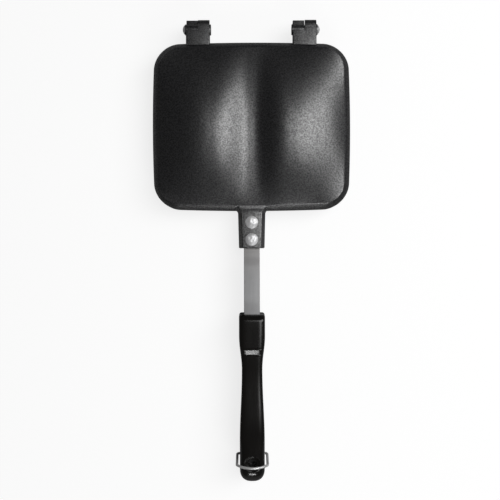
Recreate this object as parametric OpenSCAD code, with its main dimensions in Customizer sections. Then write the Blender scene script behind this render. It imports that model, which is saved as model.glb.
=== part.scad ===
// Double pie iron for toasted sandwiches: two identical cast plates on a two-knuckle hinge,
// a steel strap and a moulded grip on each, and a wire bail that locks the grips together.
// Millimetres. +Y points to the hinge, +X to the right, +Z up. The iron lies closed on its lower
// plate. The origin is at the middle of its length and width, on the surface it lies on.
// Everything is drawn as an upper half above the parting plane. The lower half is the same
// half turned over about the long axis.

/* [Plates] */
// Width of a plate across its bowed sides
plate_w = 155; // [148:1:166]
// Length of a plate between its bowed ends
plate_l = 132; // [126:1:142]
// Radius of the plate's corners
plate_r = 19.5; // [16:0.5:24]
// How far each side of a plate bows out at its middle
side_bow = 1.8; // [1:0.1:2.6]
// Height of the upright rim wall above the parting plane
rim_wall_h = 3.4; // [3:0.1:4.4]
// Height of the rim's upper edge, where the shoulder ends
rim_edge_h = 7.5; // [7:0.1:8.2]
// Width of the steep shoulder between the wall and the rim's edge
shoulder_w = 3.8; // [3.4:0.1:5]
// Width of the rim face that meets the other plate
rim_face_w = 3.4; // [3:0.1:4.2]
// Thickness of the cast wall
wall_t = 2.7; // [2.3:0.1:3.1]

/* [Domes] */
// Height of the two peaks above the parting plane
peak_h = 20.5; // [18:0.5:24]
// Distance of each peak from the middle of the plate
peak_x = 33; // [30:0.5:36]
// Height of the valley between the domes above the rim's edge, at the middle of the plate
valley_rise = 5.6; // [4:0.2:8]
// Distance from the middle of the plate over which the valley's floor is rounded
valley_round = 11; // [9:0.5:14]
// Height of the dividing ridge inside, above the parting plane
ridge_h = 1.6; // [1.2:0.1:2.6]
// Width of the dividing ridge inside
ridge_w = 12; // [10:0.5:14]

/* [Hinge] */
// Distance of each hinge bracket from the middle of the plate
bracket_x = 42; // [36:0.5:46]
// Width of a bracket, which is two knuckles side by side
bracket_w = 18.4; // [16:0.2:22]
// Distance from the plate's end to the hinge axis
hinge_gap = 11; // [10:0.2:14]
// Reach of a knuckle past the hinge axis
knuckle_reach = 7.6; // [7:0.1:8.6]
// Height of a lug's top above the parting plane
lug_h = 5.2; // [5:0.1:5.6]
// Radius of a knuckle's barrel
barrel_r = 4; // [3.6:0.1:4.2]
// Radius of the round boss on a knuckle's side
boss_r = 4.2; // [3.9:0.1:4.6]
// Angle to which the iron opens before the knuckles meet the lugs, in degrees
open_angle = 100; // [94:1:108]
// Height of the boss on a knuckle's side
boss_h = 1; // [0.6:0.1:1.4]
// Radius of a hinge pin
pin_r = 2.2; // [1.8:0.1:2.5]
// Radius of a hinge pin's head
pin_head_r = 3.7; // [3.4:0.1:4.2]
// Height of a hinge pin's head
pin_head_h = 1.8; // [1.2:0.1:2.4]

/* [Neck and strap] */
// Length of the neck that holds the strap
neck_l = 29.5; // [28:0.5:36]
// Width of the neck's foot where it leaves the plate
neck_root_w = 21.6; // [20.4:0.2:24]
// Width of the neck's foot at its end
neck_end_w = 20.2; // [19.6:0.2:22]
// Draft of each side of the neck, from foot to top
neck_draft = 2.3; // [1.6:0.1:2.6]
// Height of the neck's top above the parting plane
neck_h = 6.9; // [6.6:0.1:7.3]
// Thickness of the neck over the strap
neck_t = 2.8; // [2.4:0.1:3]
// Width of the steel strap
strap_w = 12.4; // [11:0.2:13]
// Thickness of the steel strap
strap_t = 2; // [1.6:0.1:2.2]
// Length of the strap that shows between neck and grip
strap_free_l = 51.5; // [40:0.5:70]
// How far the strap rises between neck and grip
strap_rise = 2.6; // [2:0.1:3.6]
// Length over which the strap rises
strap_rise_l = 12; // [9:0.5:16]
// Distance from the neck's end to the start of the strap's rise
strap_rise_gap = 4.5; // [3:0.5:8]
// Depth to which the strap's full width enters the grip
shoulder_in = 8; // [6:0.5:14]
// Width of the strap's tang inside the grip
tang_w = 8; // [6:0.2:8.6]
// Length of the tang, measured from the grip's front
tang_l = 96; // [80:1:102]

/* [Rivets] */
// Distance of the first rivet from the plate's end
rivet_gap = 9.2; // [8:0.2:10]
// Distance between the two rivets
rivet_pitch = 13.5; // [12:0.5:14.5]
// Radius of a rivet's shank
rivet_r = 2.4; // [2:0.1:2.8]
// Radius of a rivet's outer head
rivet_head_r = 5; // [4.2:0.1:5.4]
// Height of a rivet's outer head
rivet_head_h = 1.5; // [1:0.1:2]
// Radius of a rivet's closed end under the strap
rivet_tail_r = 4; // [3.4:0.1:4.8]
// Height of a rivet's closed end under the strap
rivet_tail_h = 1; // [0.7:0.1:1.2]

/* [Grips] */
// Length of a grip
grip_l = 131.5; // [124:0.5:140]
// Width of the collar at the grip's front
collar_w = 20.2; // [18.5:0.1:22]
// Width of the grip's waist
waist_w = 16; // [15:0.1:18]
// Width of the grip's rear
butt_w = 19.4; // [18:0.1:20.4]
// Height of the collar's top above the parting plane
collar_h = 16.4; // [15.5:0.1:18]
// Height of the waist's top above the parting plane
waist_h = 12.9; // [12.4:0.1:14]
// Height of the rear's top above the parting plane
butt_h = 15.2; // [14.4:0.1:15.6]
// Length of the collar up to the thumb step
collar_l = 27; // [24:0.5:32]
// Length of the thumb step's slope
step_l = 4.8; // [3.5:0.1:7]
// Distance from the grip's front at which it starts to narrow
taper_at = 16; // [10:0.5:24]
// Distance from the grip's front to its waist
waist_at = 43; // [38:0.5:52]
// Distance from the grip's front at which its rear is full
butt_at = 100; // [84:0.5:106]
// Length of the bevel on the collar's front
bevel_l = 5; // [3:0.5:8]
// Drop of the bevel on the collar's front
bevel_drop = 2.6; // [1.6:0.1:3]
// Rounding of the collar's front edge
collar_round = 1.6; // [1:0.1:2]
// Length over which a grip's rear end is rounded, seen from above
butt_round = 11; // [8:0.5:14]
// Half the gap between the two grips when the iron is closed
grip_gap = 0.8; // [0.5:0.1:1.2]
// Radius of the hanging hole through each grip
hang_r = 3; // [2.4:0.1:3.6]
// Radius of the dish round the hanging hole
dish_r = 5.8; // [4.8:0.1:6.2]
// Depth of the dish round the hanging hole
dish_h = 1.6; // [1.2:0.1:2.2]
// Distance of the hanging hole from the grip's rear end
hang_inset = 16.3; // [15.5:0.1:18]

/* [Bail] */
// Diameter of the bail's wire
wire_d = 2; // [1.6:0.1:2.4]
// Distance of the bail's pivot from the grip's rear end
pivot_inset = 19.3; // [18.8:0.1:20]
// Depth of the bail's pivot below the parting plane
pivot_drop = 7; // [6.6:0.1:8]
// Distance from the pivot to the middle of the crossbar
bail_reach = 24.4; // [24:0.1:26]
// How far the crossbar arches between its corners
bail_arch = 3.4; // [2.6:0.1:3.8]
// Distance of each leg of the bail from the middle
bail_x = 11.9; // [11.4:0.1:13]
// Radius of the bail's bends
bail_bend_r = 2; // [1.6:0.1:2.4]
// Lean of the locked bail towards the grip's rear end, in degrees
bail_lean = 13; // [11:0.5:15]
// Depth of the bail's ends inside the lower grip
bail_grip_depth = 4.4; // [3.4:0.1:5]

/* [Clearances] */
// Half the gap between the two rims when the iron is closed
rim_gap = 0.1; // [0.05:0.05:0.2]
// Gap between the swinging crossbar's highest bow and the grips' rear ends
swing_gap = 1.1; // [1:0.1:1.6]
// Gap between parts that turn past each other in the hinge
turn_gap = 0.35; // [0.25:0.05:0.5]
// Radial clearance of a pin or wire that turns in its hole
run_fit = 0.06; // [0.03:0.01:0.09]
// Radial clearance of a rivet or pin that is fixed in its hole
fixed_fit = 0.03; // [0.02:0.01:0.05]
// Clearance round the strap in the neck and the grip
slot_fit = 0.1; // [0.05:0.05:0.2]

/* [Hidden] */

cast_black = "#3d3d43";
steel_grey = "#97979a";
rivet_white = "#c9c9cc";
resin_black = "#171513";
round_fn = 48;
dome_fn = 128;
thin = 0.01;           // thickness of a slice under a hull, and overlap of touching solids
cut_through = 1;       // how far a cutter runs past the face it leaves
cols = 31;             // lines of the plate's grid across it
rows = 23;             // lines of the plate's grid along it
line_crowding = 1.2;   // a higher value crowds the grid's lines towards the valley
flank_power = 3;       // a higher value makes a dome steeper by the valley and flatter at its peak
valley_power = 3;      // a higher value makes the valley's floor flatter
side_power = 2;        // a higher value makes a dome fuller towards the plate's side
end_power = 2;         // a higher value makes a dome fuller towards the plate's ends
shoulder_power = 1.3;  // fullness of the shoulder, where 1 is a straight chamfer
crown_power = 4.5;     // fullness of a grip's crowned side, which is nearly flat
butt_crown_power = 2.9;   // the same over the rear, where the crown is rounder
crown_fade_at = 88;    // distance from the grip's front at which its crown starts to turn rounder
crown_fade_l = 20;     // length over which the crown turns rounder
sole_power = 5.5;      // fullness of a grip's flat side
butt_power = 2.3;      // fullness of a grip's rounded rear end
seam_share = 0.42;     // how far up its thickness a grip is widest
grip_sides = 24;       // sides of a grip's cross-section
tube_sides = 12;       // sides of the wire's cross-section
tube_end = 0.6;        // straight wire between the lower bend and the true round of the end
tube_shrink = 0.02;    // by how much the faceted wire is thinner than its true round ends

// Places along Y, from the far end of the knuckles to the rear end of the grips
total_l = knuckle_reach + hinge_gap + plate_l + neck_l + strap_free_l + grip_l;
hinge_y = total_l / 2 - knuckle_reach;
plate_back_y = hinge_y - hinge_gap;
plate_y = plate_back_y - plate_l / 2;
plate_front_y = plate_back_y - plate_l;
neck_end_y = plate_front_y - neck_l;
grip_front_y = neck_end_y - strap_free_l;
grip_end_y = grip_front_y - grip_l;
pivot_y = grip_end_y + pivot_inset;
hang_y = grip_end_y + hang_inset;
rivet_front_y = plate_front_y - rivet_gap;
rivet_rear_y = rivet_front_y - rivet_pitch;

// Heights above the parting plane, in a half's own frame
parting_z = max([for (p = surface_points(shoulder_w, false)) p.z]);   // the lower peaks lie on z = 0
strap_top_z = neck_h - neck_t - slot_fit;
strap_low_z = strap_top_z - strap_t;
tang_low_z = strap_low_z + strap_rise;
knuckle_w = (bracket_w - turn_gap) / 2;
blind_skin = 1;                  // metal left behind a blind hinge bore
inner_bevel = 0.5;               // bevel between a hollow's side and its roof
root_depth = rim_face_w * 0.7;   // how far the lugs and the neck run into the rim
wire_r = wire_d / 2;
bail_clear_r = bail_reach - wire_r - swing_gap;   // the bail's swing clears what lies inside this

function mix(a, b, t) = a + (b - a) * t;
// Goes from 0 to 1 as t does, with a level start and end
function ease(t) = t <= 0 ? 0 : t >= 1 ? 1 : (1 - cos(180 * t)) / 2;

// ---- plate ----

// The plate is mapped from a square: u and v run from -1 to 1 across and along it. A rounded
// rectangle gives the half width at each v and the half length at each u, and then bows outwards.
function half_at(t, a, b, r) = let (over = max(abs(t) - (b - r), 0)) a - r + sqrt(r * r - over * over);
function plate_point(u, v, inset) =
    let (
        a = plate_w / 2 - side_bow - inset, b = plate_l / 2 - side_bow - inset,
        r = max(plate_r - inset, 2),
        x = u * half_at(v * (b - r + r * cos(45)), a, b, r),
        y = v * half_at(u * (a - r + r * cos(45)), b, a, r)
    )
    [x + side_bow * x / a * (1 - pow(y / b, 2)), y + side_bow * y / b * (1 - pow(x / a, 2))];

// Distance from the valley, with its floor rounded
function valley_distance(x) =
    pow(pow(x, valley_power) + pow(valley_round, valley_power), 1 / valley_power) - valley_round;
// The rise of a dome across the plate, as a share of its height: up from the valley's floor along a
// steep flank to a level peak, then a fall that steepens on the way to the side
function dome_across(x, side) =
    x < peak_x
        ? mix(1, valley_rise / (peak_h - rim_edge_h),
            pow(1 - valley_distance(x) / valley_distance(peak_x), flank_power))
        : 1 - pow(min((x - peak_x) / (side - peak_x), 1), side_power);
// Each dome is a pillow: its rise across the plate, lowered towards the two ends
function dome_height(x, y, side, end) =
    (peak_h - rim_edge_h) * dome_across(abs(x), side) * (1 - pow(min(abs(y) / end, 1), end_power));

// Depth of the groove that leaves the dividing ridge inside, fading to nothing at the plate's ends
function ridge_groove(x, y, end, low) =
    let (v = min(abs(y) / end, 1))
    exp(-pow(2 * x / ridge_w, 2))
        * (valley_rise * (1 - pow(v, end_power)) + (low - ridge_h) * (1 - pow(v, 4)));

function outer_height(p) =
    let (side = plate_w / 2 - shoulder_w, end = plate_l / 2 - shoulder_w)
    rim_edge_h + dome_height(p.x, p.y, side, end);
function inner_height(p) =
    let (side = plate_w / 2 - shoulder_w, end = plate_l / 2 - shoulder_w, low = rim_edge_h - wall_t)
    low + dome_height(p.x, p.y, side, end) - ridge_groove(p.x, p.y, end, low);

// Lines of the plate's grid, closer together near the valley
function grid_u(i) = let (t = 2 * i / (cols - 1) - 1) sign(t) * pow(abs(t), line_crowding);
function grid_v(j) = 2 * j / (rows - 1) - 1;
// The grid's border as one loop of column and row numbers
border = concat(
    [for (i = [0:cols - 1]) [i, 0]], [for (j = [1:rows - 1]) [cols - 1, j]],
    [for (i = [cols - 2:-1:0]) [i, rows - 1]], [for (j = [rows - 2:-1:1]) [0, j]]
);

function surface_points(inset, inner) = [for (j = [0:rows - 1]) for (i = [0:cols - 1])
    let (p = plate_point(grid_u(i), grid_v(j), inset), z = inner ? inner_height(p) : outer_height(p))
    [p.x, p.y, z]];
// Two triangles a cell, split along the line that runs up to the nearer peak
function surface_faces(base, inner) = [for (j = [0:rows - 2]) for (i = [0:cols - 2])
    let (
        a = base + j * cols + i, b = a + 1, c = b + cols, d = a + cols,
        p = plate_point((grid_u(i) + grid_u(i + 1)) / 2, (grid_v(j) + grid_v(j + 1)) / 2, shoulder_w),
        split = (abs(p.x) - peak_x) * p.x * p.y > 0 ? [[a, c, b], [a, d, c]] : [[a, d, b], [b, d, c]]
    )
    for (f = split) inner ? [f[2], f[1], f[0]] : f];
function ring_points(inset, z) = [for (k = border)
    let (p = plate_point(grid_u(k[0]), grid_v(k[1]), inset)) [p.x, p.y, z]];
// Walls between two loops of the same length, given by their point numbers
function loop_faces(from, to) = [for (k = [0:len(from) - 1])
    let (m = (k + 1) % len(from)) each [[from[k], to[k], to[m]], [from[k], to[m], from[m]]]];
function ring_numbers(base, n) = [for (k = [0:len(border) - 1]) base + n * len(border) + k];
function border_numbers(base) = [for (k = border) base + k[1] * cols + k[0]];

module plate() {
    cell_count = cols * rows;
    e = 2 / shoulder_power;
    shoulder = [for (t = [0, 30, 60])
        [shoulder_w * (1 - pow(cos(t), e)), mix(rim_wall_h, rim_edge_h, pow(sin(t), e))]];
    rings = concat(
        [[rim_face_w, rim_edge_h - wall_t - inner_bevel], [rim_face_w, rim_gap], [0, rim_gap]],
        shoulder
    );
    base = 2 * cell_count;
    points = concat(
        surface_points(shoulder_w, false), surface_points(rim_face_w + inner_bevel, true),
        [for (ring = rings) each ring_points(ring[0], ring[1])]
    );
    last = len(rings) - 1;
    translate([0, plate_y, 0])
        polyhedron(points, concat(
            surface_faces(0, false), surface_faces(cell_count, true),
            loop_faces(border_numbers(cell_count), ring_numbers(base, 0)),
            [for (n = [0:last - 1]) each loop_faces(ring_numbers(base, n), ring_numbers(base, n + 1))],
            loop_faces(ring_numbers(base, last), border_numbers(0))
        ));
}

// ---- hinge ----

// A shape drawn in Y and Z round the hinge axis, carried along X
module along_x(x, w) {
    translate([x, hinge_y, 0])
        rotate([90, 0, 90])
            linear_extrude(w)
                children();
}

// Side view of a lug from inside the rim to the hinge axis
module lug_side() {
    back = -hinge_gap - root_depth;
    translate([back, rim_gap])
        square([-back, lug_h - rim_gap]);
}

// Side view of a knuckle: its barrel, and its square reach with a rounded end past the axis
module knuckle_side() {
    end_r = lug_h - 2 * rim_gap;
    circle(barrel_r, $fn = round_fn);
    translate([0, rim_gap])
        square([knuckle_reach - end_r, lug_h - rim_gap]);
    translate([knuckle_reach - end_r, rim_gap])
        intersection() {
            circle(end_r, $fn = round_fn);
            square(end_r);
        }
}

// Side view of what is cut from a lug to let the other half's knuckle turn to the open angle
module knuckle_relief() {
    lean = open_angle - 90;
    circle(barrel_r + turn_gap, $fn = round_fn);
    translate([-turn_gap / cos(lean), 0])
        polygon([[0, 0], [-2 * lug_h * tan(lean), 2 * lug_h], [lug_h, 2 * lug_h], [lug_h, 0]]);
}

// Bracket centred at x: a full lug, with this half's knuckle on its right
module bracket(x) {
    left = x - bracket_w / 2;
    knuckle_x = x + bracket_w / 2 - knuckle_w;
    difference() {
        along_x(left, bracket_w)
            lug_side();
        along_x(left - cut_through, knuckle_x - left + cut_through)
            knuckle_relief();
    }
    along_x(knuckle_x, knuckle_w)
        knuckle_side();
    along_x(knuckle_x + knuckle_w, boss_h)
        circle(boss_r, $fn = round_fn);
}

// The right bracket holds this half's pin; the left one has a blind bore for the other half's
module hinge_bores() {
    right_x = bracket_x + bracket_w / 2 - knuckle_w;
    left_x = bracket_w / 2 - knuckle_w - bracket_x;
    along_x(right_x - cut_through, knuckle_w + boss_h + 2 * cut_through)
        circle(pin_r + fixed_fit, $fn = round_fn);
    along_x(left_x - cut_through, knuckle_w + boss_h - blind_skin + cut_through)
        circle(pin_r + run_fit, $fn = round_fn);
}

module hinge_pin() {
    face_x = bracket_x + bracket_w / 2 + boss_h;
    tip_x = bracket_x - bracket_w / 2 - boss_h + blind_skin + 2 * turn_gap;
    dome_r = (pin_head_r * pin_head_r + pin_head_h * pin_head_h) / (2 * pin_head_h);
    color(rivet_white) {
        along_x(tip_x, face_x - tip_x + thin)
            circle(pin_r, $fn = round_fn);
        translate([face_x, hinge_y, 0])
            rotate([0, 90, 0])
                rotate_extrude($fn = round_fn)
                    intersection() {
                        translate([0, pin_head_h - dome_r])
                            circle(dome_r, $fn = dome_fn);
                        square([pin_head_r, pin_head_h]);
                    }
    }
}

// ---- neck, strap and rivets ----

module neck() {
    root_y = plate_front_y + root_depth;
    hull()
        for (side = [[root_y, neck_root_w / 2], [neck_end_y, neck_end_w / 2]])
            for (level = [[rim_gap, 0], [neck_h - thin, neck_draft]])
                translate([-side[1] + level[1], side[0], level[0]])
                    cube([2 * (side[1] - level[1]), thin, thin]);
}

module strap_channel() {
    w = strap_w / 2 + slot_fit;
    translate([-w, neck_end_y - cut_through, -cut_through])
        cube([2 * w, neck_l + cut_through - shoulder_w / 4, neck_h - neck_t + cut_through]);
}

module rivet_bores() {
    for (y = [rivet_front_y, rivet_rear_y])
        translate([0, y, 0])
            cylinder(h = neck_h * 2, r = rivet_r + fixed_fit, $fn = round_fn);
}

// Side view of the strap, in Y and Z: level in the neck, a rise, level into the grip
module strap_side(from_y, to_y) {
    rise_y = neck_end_y - strap_rise_gap;
    low = [
        [from_y, strap_low_z], [rise_y, strap_low_z],
        [rise_y - strap_rise_l, tang_low_z], [to_y, tang_low_z],
    ];
    polygon(concat(low, [for (i = [3:-1:0]) low[i] + [0, strap_t]]));
}

module strap() {
    shoulder_y = grip_front_y - shoulder_in;
    front_y = plate_front_y - shoulder_w / 4 - 2 * slot_fit;
    color(steel_grey)
        difference() {
            intersection() {
                rotate([90, 0, 90])
                    linear_extrude(strap_w, center = true)
                        strap_side(front_y, grip_front_y - tang_l);
                union() {
                    translate([-strap_w / 2, shoulder_y, 0])
                        cube([strap_w, front_y - shoulder_y + cut_through, collar_h]);
                    translate([-tang_w / 2, grip_front_y - tang_l - cut_through, 0])
                        cube([tang_w, tang_l, collar_h]);
                }
            }
            rivet_bores();
        }
}

// A rivet from its outer head, through neck and strap, to its closed end
module rivet(y) {
    dome_r = (rivet_head_r * rivet_head_r + rivet_head_h * rivet_head_h) / (2 * rivet_head_h);
    color(rivet_white)
        translate([0, y, 0])
            rotate_extrude($fn = round_fn) {
                translate([0, strap_low_z - rivet_tail_h])
                    square([rivet_tail_r, rivet_tail_h]);
                translate([0, strap_low_z - thin])
                    square([rivet_r, neck_h - strap_low_z + 2 * thin]);
                translate([0, neck_h])
                    intersection() {
                        translate([0, rivet_head_h - dome_r])
                            circle(dome_r, $fn = dome_fn);
                        square([rivet_head_r, rivet_head_h]);
                    }
            }
}

// ---- grips ----

// How far the rounded front edge stands back from the full collar at distance s from the front
function edge_round(s) = s < collar_round ? collar_round - sqrt(s * (2 * collar_round - s)) : 0;

// Half width of a grip at distance s from its front
function grip_half_w(s) =
    let (
        body = s < waist_at ? mix(collar_w, waist_w, ease((s - taper_at) / (waist_at - taper_at)))
            : mix(waist_w, butt_w, ease((s - waist_at) / (butt_at - waist_at))),
        over = max(s - grip_l + butt_round, 0) / butt_round,
        rear = pow(max(1 - pow(over, butt_power), 0), 1 / butt_power)
    )
    max((body / 2 - edge_round(s)) * rear, collar_round);

// Top of a grip: bevel, collar, thumb step, waist, rear, and an end inside the bail's swing
function bail_limit(s) =
    let (dy = s - (grip_l - pivot_inset))
    dy < 0 ? collar_h : sqrt(max(bail_clear_r * bail_clear_r - dy * dy, 1)) - pivot_drop;
function grip_top(s) =
    let (
        body = s < bevel_l ? collar_h - bevel_drop * (1 - sin(90 * s / bevel_l))
            : s < waist_at ? mix(collar_h, waist_h, min(max((s - collar_l) / step_l, 0), 1))
            : mix(waist_h, butt_h, ease((s - waist_at) / (butt_at - waist_at)))
    )
    min(body, bail_limit(s));

// Fullness of the crown at s
function crown_at(s) = mix(crown_power, butt_crown_power, ease((s - crown_fade_at) / crown_fade_l));
// Cross-section at s: full below, with a crowned top
function grip_ring(s) =
    let (
        a = grip_half_w(s), top = grip_top(s) - edge_round(s), low = grip_gap + edge_round(s),
        seam = mix(low, top, seam_share)
    )
    [for (i = [0:grip_sides - 1])
        let (
            u = cos(360 * i / grip_sides), v = sin(360 * i / grip_sides),
            e = 2 / (v > 0 ? crown_at(s) : sole_power),
            h = v > 0 ? top - seam : seam - low
        )
        [a * sign(u) * pow(abs(u), e), grip_front_y - s, seam + h * sign(v) * pow(abs(v), e)]
    ];

grip_stations = concat(
    [for (i = [0:3]) collar_round * (1 - cos(30 * i))], [mix(collar_round, bevel_l, 0.5), bevel_l],
    [for (i = [1:4]) mix(bevel_l, collar_l, i / 4)],
    [for (i = [1:3]) collar_l + step_l * i / 3],
    [for (i = [1:14]) mix(collar_l + step_l, grip_l - butt_round, i / 14)],
    [for (i = [1:9]) grip_l - butt_round + butt_round * sin(10 * i)]
);

module grip_skin() {
    ring_tube([for (s = grip_stations) each grip_ring(s)], grip_sides);
}

module tang_slot() {
    h = strap_t + 2 * slot_fit;
    translate([-strap_w / 2 - slot_fit, grip_front_y - shoulder_in - slot_fit, tang_low_z - slot_fit])
        cube([strap_w + 2 * slot_fit, shoulder_in + slot_fit + cut_through, h]);
    translate([-tang_w / 2 - slot_fit, grip_front_y - tang_l - slot_fit, tang_low_z - slot_fit])
        cube([tang_w + 2 * slot_fit, tang_l, h]);
}

module hanging_hole() {
    translate([0, hang_y, -cut_through])
        cylinder(h = collar_h + 2 * cut_through, r = hang_r, $fn = round_fn);
    translate([0, hang_y, grip_top(grip_l - hang_inset) - dish_h])
        cylinder(h = dish_h + collar_h, r = dish_r, $fn = round_fn);
}

module grip() {
    color(resin_black)
        difference() {
            grip_skin();
            tang_slot();
            hanging_hole();
        }
}

// Blind holes in the lower grip's sides, in which the bail's ends turn
module bail_sockets() {
    for (side = [-1, 1])
        translate([side * (butt_w / 2 - bail_grip_depth - turn_gap), pivot_y, pivot_drop])
            rotate([0, side * 90, 0])
                cylinder(h = butt_w, r = wire_r + run_fit, $fn = round_fn);
}

// ---- bail ----

// The bail is drawn flat, with its pivot on the X axis: its right half runs from the middle of the
// crossbar round both bends to the socket, and the left half mirrors it.
function on_circle(centre, r, angle) = centre + r * [cos(angle), sin(angle)];
function bail_half() =
    let (
        cx = bail_x - bail_bend_r,
        arch_r = (cx * cx + bail_arch * bail_arch) / (2 * bail_arch), arch_c = [0, bail_reach - arch_r],
        bend_c = arch_c + [cx, sqrt(pow(arch_r - bail_bend_r, 2) - cx * cx)],
        meet = atan2(bend_c.y - arch_c.y, cx), foot_c = [cx, bail_bend_r]
    )
    concat(
        [for (i = [0:7]) on_circle(arch_c, arch_r, mix(90, meet, i / 7))],
        [for (i = [1:4]) on_circle(bend_c, bail_bend_r, mix(meet, 0, i / 4))],
        [for (i = [1:3]) [bail_x, mix(bend_c.y, foot_c.y, i / 4)]],
        [for (i = [0:6]) on_circle(foot_c, bail_bend_r, -15 * i)],
        [[cx - tube_end, 0]]
    );
function bail_route() = let (half = bail_half())
    concat([for (i = [len(half) - 1:-1:1]) [-half[i].x, half[i].y]], half);
function wire_ring(route, k) =
    let (d = route[min(k + 1, len(route) - 1)] - route[max(k - 1, 0)], side = [d.y, -d.x] / norm(d))
    [for (i = [0:tube_sides - 1])
        let (angle = 360 * i / tube_sides, r = wire_r - tube_shrink)
        [route[k].x + r * cos(angle) * side.x, route[k].y + r * cos(angle) * side.y, r * sin(angle)]];

// A tube through rings of points, closed at both ends
module ring_tube(points, n) {
    rings = len(points) / n;
    polyhedron(points, concat(
        [for (r = [0:rings - 2]) for (i = [0:n - 1])
            let (a = r * n + i, b = r * n + (i + 1) % n) each [[a, b, b + n], [a, b + n, a + n]]],
        [[for (i = [n - 1:-1:0]) i], [for (i = [0:n - 1]) (rings - 1) * n + i]]
    ));
}

module flat_bail() {
    route = bail_route();
    ring_tube([for (k = [0:len(route) - 1]) each wire_ring(route, k)], tube_sides);
    end_x = butt_w / 2 - bail_grip_depth;
    for (side = [-1, 1])
        translate([side * end_x, 0, 0])
            rotate([0, side * 90, 0])
                cylinder(h = bail_x - bail_bend_r - tube_end - end_x, r = wire_r, $fn = round_fn);
}

module locking_bail() {
    color(steel_grey)
        translate([0, pivot_y, parting_z - pivot_drop])
            rotate([90 + bail_lean, 0, 0])
                flat_bail();
}

// ---- halves ----

module shell() {
    color(cast_black)
        difference() {
            union() {
                plate();
                bracket(bracket_x);
                bracket(-bracket_x);
                neck();
            }
            hinge_bores();
            strap_channel();
            rivet_bores();
        }
}

module upper() {
    translate([0, 0, parting_z])
        children();
}

module lower() {
    translate([0, 0, parting_z])
        rotate([0, 180, 0])
            children();
}

lower() shell();  // lower_shell
upper() shell();  // upper_shell
lower() strap();  // lower_strap
upper() strap();  // upper_strap
lower() difference() { grip(); bail_sockets(); }  // lower_grip
upper() grip();  // upper_grip
lower() rivet(rivet_front_y);  // lower_rivet_front
lower() rivet(rivet_rear_y);  // lower_rivet_rear
upper() rivet(rivet_front_y);  // upper_rivet_front
upper() rivet(rivet_rear_y);  // upper_rivet_rear
lower() hinge_pin();  // hinge_pin_left
upper() hinge_pin();  // hinge_pin_right
locking_bail();
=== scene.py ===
# %% [markdown]
# # A double pie iron
# The iron is two cast plates on a two-knuckle hinge. Each plate has a short neck, a flat steel
# strap held by two rivets, and a moulded grip, and a wire bail swings over the grips to lock them.
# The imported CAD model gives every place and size, so it is loaded first and kept as the frame.
# Both halves are one casting, one of them turned over, so each form is worked out once.

import math

import bpy
import bmesh
import numpy as np
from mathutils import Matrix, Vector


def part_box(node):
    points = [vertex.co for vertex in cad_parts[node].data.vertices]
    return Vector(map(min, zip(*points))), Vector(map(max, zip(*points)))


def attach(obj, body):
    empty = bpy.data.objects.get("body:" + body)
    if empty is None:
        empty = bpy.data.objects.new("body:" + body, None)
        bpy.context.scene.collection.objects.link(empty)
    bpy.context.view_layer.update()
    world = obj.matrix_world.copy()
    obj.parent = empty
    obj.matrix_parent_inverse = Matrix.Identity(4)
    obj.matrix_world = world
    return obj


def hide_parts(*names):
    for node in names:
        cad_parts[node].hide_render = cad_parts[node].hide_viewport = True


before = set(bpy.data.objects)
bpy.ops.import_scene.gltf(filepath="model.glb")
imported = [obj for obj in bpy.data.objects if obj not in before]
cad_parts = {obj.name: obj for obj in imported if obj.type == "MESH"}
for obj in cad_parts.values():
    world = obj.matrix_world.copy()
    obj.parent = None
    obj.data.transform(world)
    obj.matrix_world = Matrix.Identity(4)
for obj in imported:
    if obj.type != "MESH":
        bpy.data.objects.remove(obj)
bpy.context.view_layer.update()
MM = 0.001

shell_high = np.array(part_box("upper_shell")[1]) / MM
lower_low = np.array(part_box("lower_shell")[0]) / MM
grip_low, grip_high = (np.array(c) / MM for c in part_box("upper_grip"))
parting_z = (lower_low[2] + shell_high[2]) / 2
print(f"The halves meet at z = {parting_z:.2f} mm")

# %% [markdown]
# ## Sizes
# Sizes are in millimetres and carry the names that a drawing of the iron would give them. Places
# along the iron are counted from the frame's own boxes, so the dressed pieces lie on the solids.

# %% The casting's sizes
plate_w, plate_l, plate_r, side_bow = 155.0, 132.0, 19.5, 1.8
rim_wall_h, rim_edge_h, shoulder_w = 3.4, 7.5, 3.8
rim_face_w, rim_gap, wall_t, root_depth = 3.4, 0.1, 2.7, 2.4
foot_z = rim_gap + 0.03
peak_h, peak_x, flank_power, side_power, end_power = 20.5, 33.0, 3.0, 2.0, 2.0
valley_rise, valley_round, valley_power = 5.6, 11.0, 3.0
ridge_h, ridge_w, shoulder_power = 1.6, 12.0, 1.15

bracket_x, bracket_w, hinge_gap, knuckle_reach = 42.0, 18.4, 11.0, 7.6
lug_h, barrel_r, boss_r, boss_h = 5.2, 4.0, 4.2, 1.0
pin_r, pin_head_r, pin_head_h = 2.2, 3.7, 1.8
turn_gap, open_angle = 0.35, 100.0
knuckle_w = (bracket_w - turn_gap) / 2

neck_l, neck_root_w, neck_end_w = 29.5, 21.6, 20.2
neck_draft, neck_h, neck_t = 2.3, 6.9, 2.8
strap_w, strap_t = 12.4, 2.0
strap_rise, strap_rise_l, strap_rise_gap = 2.6, 12.0, 4.5
rivet_gap, rivet_pitch = 9.2, 13.5
rivet_r, rivet_head_r, rivet_head_h = 2.4, 5.0, 1.5
rivet_tail_r, rivet_tail_h = 4.0, 1.0

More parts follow.
